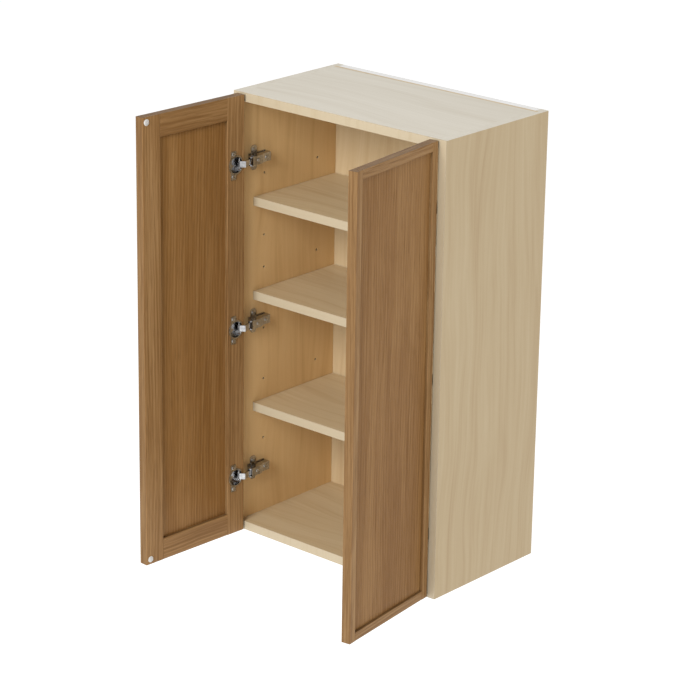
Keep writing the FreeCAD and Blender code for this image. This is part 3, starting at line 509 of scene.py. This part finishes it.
zinc = metal_material("zinc_plate", (0.66, 0.66, 0.64), 0.26, 0.48, 0.25,
                      (0.52, 0.52, 0.50), 2400.0)
bare_steel = metal_material("screw_plate", (0.62, 0.61, 0.59), 0.20, 0.42, 0.2,
                            (0.46, 0.45, 0.43), 2600.0)
PIN_EASE, PIN_COLLAR, PIN_COLLAR_PLACE, PIN_SHANK = 0.4 * MM, 0.9 * MM, 7.1 * MM, 2.5 * MM
PEG_SHARE = 0.75
DOWEL_EASE, DOWEL_BUMP = 1.0 * MM, 0.3
RAIL_SCREW_HEAD, RAIL_SCREW_SHANK = 2.5 * MM, 2.0 * MM
HEAD_STEPS, HEAD_DOME = 5, 0.35
RECESS_REACH, RECESS_HALF, RECESS_DEPTH = 2.2 * MM, 0.45 * MM, 1.2 * MM
CAM_ROUND = 0.25 * MM


def pin_pattern(name, length, radius, collar_at, shank):
    """Shelf pin: thin shank in the side, a collar against it and the peg under the shelf."""
    peg, collar_end = radius * PEG_SHARE, collar_at + PIN_COLLAR
    return new_piece(name, turned_mesh(name, [
        (0, 0), (peg - PIN_EASE, 0), (peg, -PIN_EASE), (peg, -collar_at), (radius, -collar_at),
        (radius, -collar_end), (shank, -collar_end), (shank, -length + PIN_EASE),
        (shank - PIN_EASE, -length), (0, -length)]))


def rod_pattern(name, length, radius, ease):
    """A plain pin or dowel with eased ends."""
    return new_piece(name, turned_mesh(name, [
        (0, 0), (radius - ease, 0), (radius, -ease), (radius, ease - length),
        (radius - ease, -length), (0, -length)]))


def screw_pattern(name, length, radius, head, shank):
    """Screw: a low domed head with a cross recess, and a shank that ends in a point."""
    profile = [(0, 0)]
    for step in range(1, HEAD_STEPS + 1):
        turn = math.pi / 2 * step / HEAD_STEPS
        profile.append((radius * math.sin(turn), -head * HEAD_DOME * (1 - math.cos(turn))))
    profile += [(radius, -head), (shank, -head), (shank, shank - length), (shank / 2, -length),
                (0, -length)]
    piece = new_piece(name, turned_mesh(name, profile))
    cross_recess(piece, RECESS_REACH, RECESS_HALF, RECESS_DEPTH)
    return piece


spots = turned_spots("shelf_pins")
# The peg end faces into the cabinet; the pins' narrow ends are in the sides.
spots = [(Vector((at.x + (-axis.x * span if axis.x * at.x > 0 else 0), at.y, at.z)),
          Vector((-math.copysign(1, at.x), 0, 0)), span, radius)
         for at, axis, span, radius in spots]
pin = pin_pattern("pin_pattern", spots[0][2], spots[0][3], PIN_COLLAR_PLACE, PIN_SHANK)
set_in_places("shelf_pins_set", "shelf_pins", pin, spots, zinc)

spots = turned_spots("carcass_dowels")
beech = maple_pattern("beech_dowel", (0.72, 0.55, 0.33), (0.66, 0.49, 0.28), (0.52, 0.36, 0.19))
set_in_places("carcass_dowels_set", "carcass_dowels",
              rod_pattern("dowel_pattern", spots[0][2], spots[0][3], DOWEL_EASE), spots,
              wood_material("dowel_beech", beech, X, Z, Vector((0, 0, 0)), DOWEL_BUMP))

spots = turned_spots("rail_screws")
set_in_places("rail_screws_set", "rail_screws",
              screw_pattern("rail_screw_pattern", spots[0][2], spots[0][3], RAIL_SCREW_HEAD,
                            RAIL_SCREW_SHANK),
              spots, zinc, seed=3)
for node in ("cam_locks", "cam_bolts"):
    finish_piece(eased_piece(f"{node}_set", node, CAM_ROUND), node, zinc)

# ------------------------------------------------------------------ doors
# Each door is an oak frame of two stiles and two rails round a veneered centre panel. The
# grain follows the length of every piece, and a satin stain leaves the pores darker. The slim
# lip in front and the wide frame behind hold the panel in a shallow recess.
FRAME_PALE, FRAME_MIDDLE, FRAME_DEEP = (
    (0.325, 0.190, 0.082), (0.262, 0.143, 0.055), (0.192, 0.096, 0.033))
VENEER_PALE, VENEER_MIDDLE, VENEER_DEEP = (
    (0.292, 0.157, 0.056), (0.244, 0.122, 0.039), (0.192, 0.088, 0.023))
OAK_PORE = (0.120, 0.056, 0.017)
OAK_ROUND, OAK_BUMP, OAK_SHINE = 0.35 * MM, 0.35, 0.12
EDGE_SHADE_KEEP = 0.66                   # how much of the face's tone an edge keeps under the painted shade
EDGE_FACING = 0.5


def oak_pattern(name, pale, middle, deep, pore):
    """Stained oak: growth rings cut nearly along the grain, streaks and open pores."""
    group, vector, out = pattern_group(name)
    sway = noise_node(group, stretched(group, vector, 1.0, 0.22), 5.0, 2.0)
    bent = add_node(group, "ShaderNodeVectorMath", {
        0: vector, 1: add_node(group, "ShaderNodeCombineXYZ", {
            0: math_node(group, "MULTIPLY", math_node(group, "SUBTRACT", sway, 0.5), 0.05),
        }).outputs[0]}, operation="ADD").outputs[0]
    log = add_node(group, "ShaderNodeMapping", {
        "Vector": bent, "Location": (0.19, 0.07, 0), "Rotation": (math.radians(1.6), 0, 0)})
    rings = add_node(group, "ShaderNodeTexWave", {
        "Vector": log.outputs[0], "Scale": 46.0, "Distortion": 3.2, "Detail": 2.0,
        "Detail Scale": 0.35}, wave_type="RINGS", rings_direction="Z").outputs["Fac"]
    streaks = noise_node(group, stretched(group, bent, 1.0, 0.016), 260.0, 4.0, 0.62)
    broad = noise_node(group, stretched(group, vector, 1.0, 0.08), 22.0, 3.0)
    pores = noise_node(group, stretched(group, bent, 1.0, 0.022), 900.0, 2.0, 0.55)
    tone = math_node(group, "ADD", math_node(group, "MULTIPLY", streaks, 0.56),
                     math_node(group, "MULTIPLY", rings, 0.07))
    tone = math_node(group, "ADD", tone, math_node(group, "MULTIPLY", broad, 0.40))
    colour = tone_ramp(group, tone, [(0.40, deep), (0.52, middle), (0.64, pale)])
    open_pores = tone_ramp(group, pores, [(0.54, grey(0.0)), (0.68, grey(1.0))])
    colour = mixed(group, math_node(group, "MULTIPLY", open_pores, 0.48), colour, pore)
    group.links.new(colour, out.inputs["Color"])
    rough = math_node(group, "ADD", math_node(group, "MULTIPLY", open_pores, 0.16), 0.40)
    group.links.new(rough, out.inputs["Roughness"])
    height = math_node(group, "SUBTRACT", math_node(group, "MULTIPLY", streaks, 0.4), open_pores)
    group.links.new(height, out.inputs["Height"])
    return group


def shade_door_edges(material, face, depth):
    """Painted shade: the narrow edges are darkened against the broad faces."""
    tree = material.node_tree
    surface = tree.nodes["Principled BSDF"]
    first = surface.inputs["Base Color"].links[0].from_socket
    facing = add_node(tree, "ShaderNodeVectorMath", {
        0: add_node(tree, "ShaderNodeTexCoord").outputs["Normal"], 1: tuple(face)},
        operation="DOT_PRODUCT").outputs["Value"]
    on_edge = math_node(tree, "LESS_THAN", math_node(tree, "ABSOLUTE", facing), EDGE_FACING)
    dark = mixed(tree, 1.0, first, (depth, depth, depth), blend_type="MULTIPLY")
    tree.links.new(mixed(tree, on_edge, first, dark), surface.inputs["Base Color"])


oak_patterns = {
    "oak_frame": oak_pattern("stained_oak_frame", FRAME_PALE, FRAME_MIDDLE, FRAME_DEEP, OAK_PORE),
    "oak_veneer": oak_pattern("stained_oak_veneer", VENEER_PALE, VENEER_MIDDLE, VENEER_DEEP,
                              OAK_PORE)}
for side, mirror in (("left", 1), ("right", -1)):
    hinge_low, hinge_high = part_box(f"{side}_door_hinge_stile")
    free_low, free_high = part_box(f"{side}_door_free_stile")
    across = (free_low + free_high - hinge_low - hinge_high).normalized()
    outward = Z.cross(across) * mirror
    for number, (part, grain, slot) in enumerate((
        ("hinge_stile", Z, "oak_frame"), ("free_stile", Z, "oak_frame"),
        ("top_rail", across, "oak_frame"), ("bottom_rail", across, "oak_frame"),
        ("inset", Z, "oak_veneer"),
    )):
        node = f"{side}_door_{part}"
        piece = eased_piece(f"{node}_wood", node, OAK_ROUND)
        shift = Vector((0.31 * number + 0.17, 0.43 * number * mirror, 0.77 * number))
        finish = wood_material(f"{node}_oak", oak_patterns[slot], grain, outward, shift,
                               OAK_BUMP, Specular_IOR_Level=OAK_SHINE)
        # Painted shade on the door's narrow edges.
        shade_door_edges(finish, outward, EDGE_SHADE_KEEP)
        finish_piece(piece, node, finish)

# ------------------------------------------------------------------ door bumpers
# Two clear soft pads per door, stuck in the free corners of its inner face.
PAD_DULL, PAD_CLEAR = (0.70, 0.69, 0.66), (0.82, 0.81, 0.79)
PAD_CLOUD_SCALE, PAD_ROUGH_SPAN, PAD_ROUGH_LOW, PAD_TRANSMISSION = 420.0, 0.2, 0.25, 0.35
rubber = bpy.data.materials.new("clear_pad_rubber")
rubber.use_nodes = True
rubber_tree = rubber.node_tree
rubber_surface = rubber_tree.nodes["Principled BSDF"]
rubber_place = add_node(rubber_tree, "ShaderNodeTexCoord").outputs["Object"]
rubber_cloud = noise_node(rubber_tree, rubber_place, PAD_CLOUD_SCALE, 2.0)
rubber_tone = tone_ramp(rubber_tree, rubber_cloud, [(0.3, PAD_DULL), (0.7, PAD_CLEAR)])
rubber_tree.links.new(rubber_tone, rubber_surface.inputs["Base Color"])
rubber_rough = math_node(rubber_tree, "MULTIPLY", rubber_cloud, PAD_ROUGH_SPAN)
rubber_tree.links.new(math_node(rubber_tree, "ADD", rubber_rough, PAD_ROUGH_LOW),
                      rubber_surface.inputs["Roughness"])
rubber_surface.inputs["Transmission Weight"].default_value = PAD_TRANSMISSION
for side in ("left", "right"):
    node = f"{side}_door_bumpers"
    spots = turned_spots(node)
    thick, radius = spots[0][2], spots[0][3]
    inner = Vector((-1 if side == "right" else 1, 0, 0))
    spots = [(at, axis, span, rim) if axis.dot(inner) > 0 else (at - axis * span, -axis, span, rim)
             for at, axis, span, rim in spots]
    pad = new_piece("pad_pattern", turned_mesh("pad_pattern", [
        (0, 0), (radius * 0.45, -thick * 0.03), (radius * 0.72, -thick * 0.14),
        (radius * 0.90, -thick * 0.36), (radius, -thick * 0.70), (radius, -thick), (0, -thick)]))
    set_in_places(f"{side}_door_bumpers_set", node, pad, spots, rubber)

# ------------------------------------------------------------------ hinges
# Concealed cup hinges, three to a door: a drawn cup in the stile, a bent link, a folded arm and
# a stamped mounting plate, all polished nickel, with small radii from the press. Each cup and
# plate has two screws, each arm two adjusting screws, and plain riveted pins hold the links.
HINGE_EASES = {"cups": 0.35 * MM, "outer_links": 0.5 * MM, "arms": 0.45 * MM, "plates": 0.4 * MM}
HINGE_SEGMENTS, LINK_PIN_EASE = 3, 0.25 * MM
HINGE_SCREWS = (("cup_screws", 1.4 * MM, 1.6 * MM, 5), ("plate_screws", 1.6 * MM, 2.5 * MM, 7),
                ("adjusting_screws", 1.4 * MM, 2.2 * MM, 11))
# The nickel's base and duller tones are set dark: painted reflections of dark surroundings.
nickel = metal_material("polished_nickel", (0.47, 0.47, 0.475), 0.09, 0.24, 0.12,
                        (0.33, 0.33, 0.335), 1500.0)
for side in ("left", "right"):
    for part, ease in HINGE_EASES.items():
        node = f"{side}_hinge_{part}"
        finish_piece(eased_piece(f"{node}_pressed", node, ease, HINGE_SEGMENTS), node,
                     nickel)
    for part, head, shank, seed in HINGE_SCREWS:
        node = f"{side}_hinge_{part}"
        spots = turned_spots(node)
        screw = screw_pattern(f"{part}_pattern", spots[0][2], spots[0][3], head, shank)
        set_in_places(f"{node}_set", node, screw, spots, bare_steel, seed)
    for part in ("arm_pins", "cup_pins"):
        node = f"{side}_hinge_{part}"
        spots = turned_spots(node)
        rod = rod_pattern(f"{part}_pattern", spots[0][2], spots[0][3], LINK_PIN_EASE)
        set_in_places(f"{node}_set", node, rod, spots, bare_steel)

# ------------------------------------------------------------------ floor, light and camera
# The cabinet hangs above a plain pale floor in soft studio light.
FLOOR_LEVEL, FLOOR_HALF = -1.37, 30.0
FLOOR_TONE, FLOOR_GLOW, FLOOR_ROUGH, FLOOR_SHINE = 0.98, 0.24, 0.9, 0.1
SKY_STRENGTH = 0.78
floor_mesh = bpy.data.meshes.new("studio_floor")
floor_mesh.from_pydata([(across * FLOOR_HALF, along * FLOOR_HALF, FLOOR_LEVEL)
                        for across, along in ((-1, -1), (1, -1), (1, 1), (-1, 1))],
                       [], [(0, 1, 2, 3)])
floor = new_piece("studio_floor", floor_mesh)
floor_paint = bpy.data.materials.new("studio_floor_paint")
floor_paint.use_nodes = True
floor_surface = floor_paint.node_tree.nodes["Principled BSDF"]
floor_surface.inputs["Base Color"].default_value = (*grey(FLOOR_TONE), 1)
floor_surface.inputs["Emission Color"].default_value = (1, 1, 1, 1)
floor_surface.inputs["Emission Strength"].default_value = FLOOR_GLOW
floor_surface.inputs["Roughness"].default_value = FLOOR_ROUGH
floor_surface.inputs["Specular IOR Level"].default_value = FLOOR_SHINE
floor_mesh.materials.append(floor_paint)

world = bpy.data.worlds.new("studio")
world.use_nodes = True
world.node_tree.nodes["Background"].inputs["Color"].default_value = (1.0, 1.0, 1.0, 1)
world.node_tree.nodes["Background"].inputs["Strength"].default_value = SKY_STRENGTH
bpy.context.scene.world = world
AIM = Vector((-0.05, -0.25, 0.45))
for name, place, wide, watts in (
    ("front_light", (0.95, -4.9, 2.9), 2.2, 272.0),
    ("side_light", (3.4, -2.6, 3.0), 2.0, 5.0),
):
    lamp = bpy.data.lights.new(name, "AREA")
    lamp.shape, lamp.size, lamp.energy = "SQUARE", wide, watts
    light = bpy.data.objects.new(name, lamp)
    light.location = place
    light.rotation_euler = (AIM - Vector(place)).to_track_quat("-Z", "Y").to_euler()
    bpy.context.scene.collection.objects.link(light)

# The camera looks down at the right front corner from about five and a half metres.
AZIMUTH, ELEVATION, ROLL = math.radians(41.0), math.radians(19.56), math.radians(0.90)
DISTANCE, LOOK_AT = 5.5857, Vector((-0.0904, -0.1524, 0.3839))
LENS, SENSOR = 143.62, 36.0
away = Vector((math.sin(AZIMUTH) * math.cos(ELEVATION), -math.cos(AZIMUTH) * math.cos(ELEVATION),
               math.sin(ELEVATION)))
level_right = Vector((math.cos(AZIMUTH), math.sin(AZIMUTH), 0))
level_up = away.cross(level_right)
right = level_right * math.cos(ROLL) + level_up * math.sin(ROLL)
up = level_up * math.cos(ROLL) - level_right * math.sin(ROLL)
lens = bpy.data.cameras.new("studio_camera")
lens.lens, lens.sensor_width = LENS, SENSOR
camera = bpy.data.objects.new("studio_camera", lens)
camera.matrix_world = Matrix.Translation(LOOK_AT + away * DISTANCE) @ Matrix(
    (right, up, away)).transposed().to_4x4()
bpy.context.scene.collection.objects.link(camera)
bpy.context.scene.camera = camera
bpy.context.scene.view_settings.view_transform = "Standard"
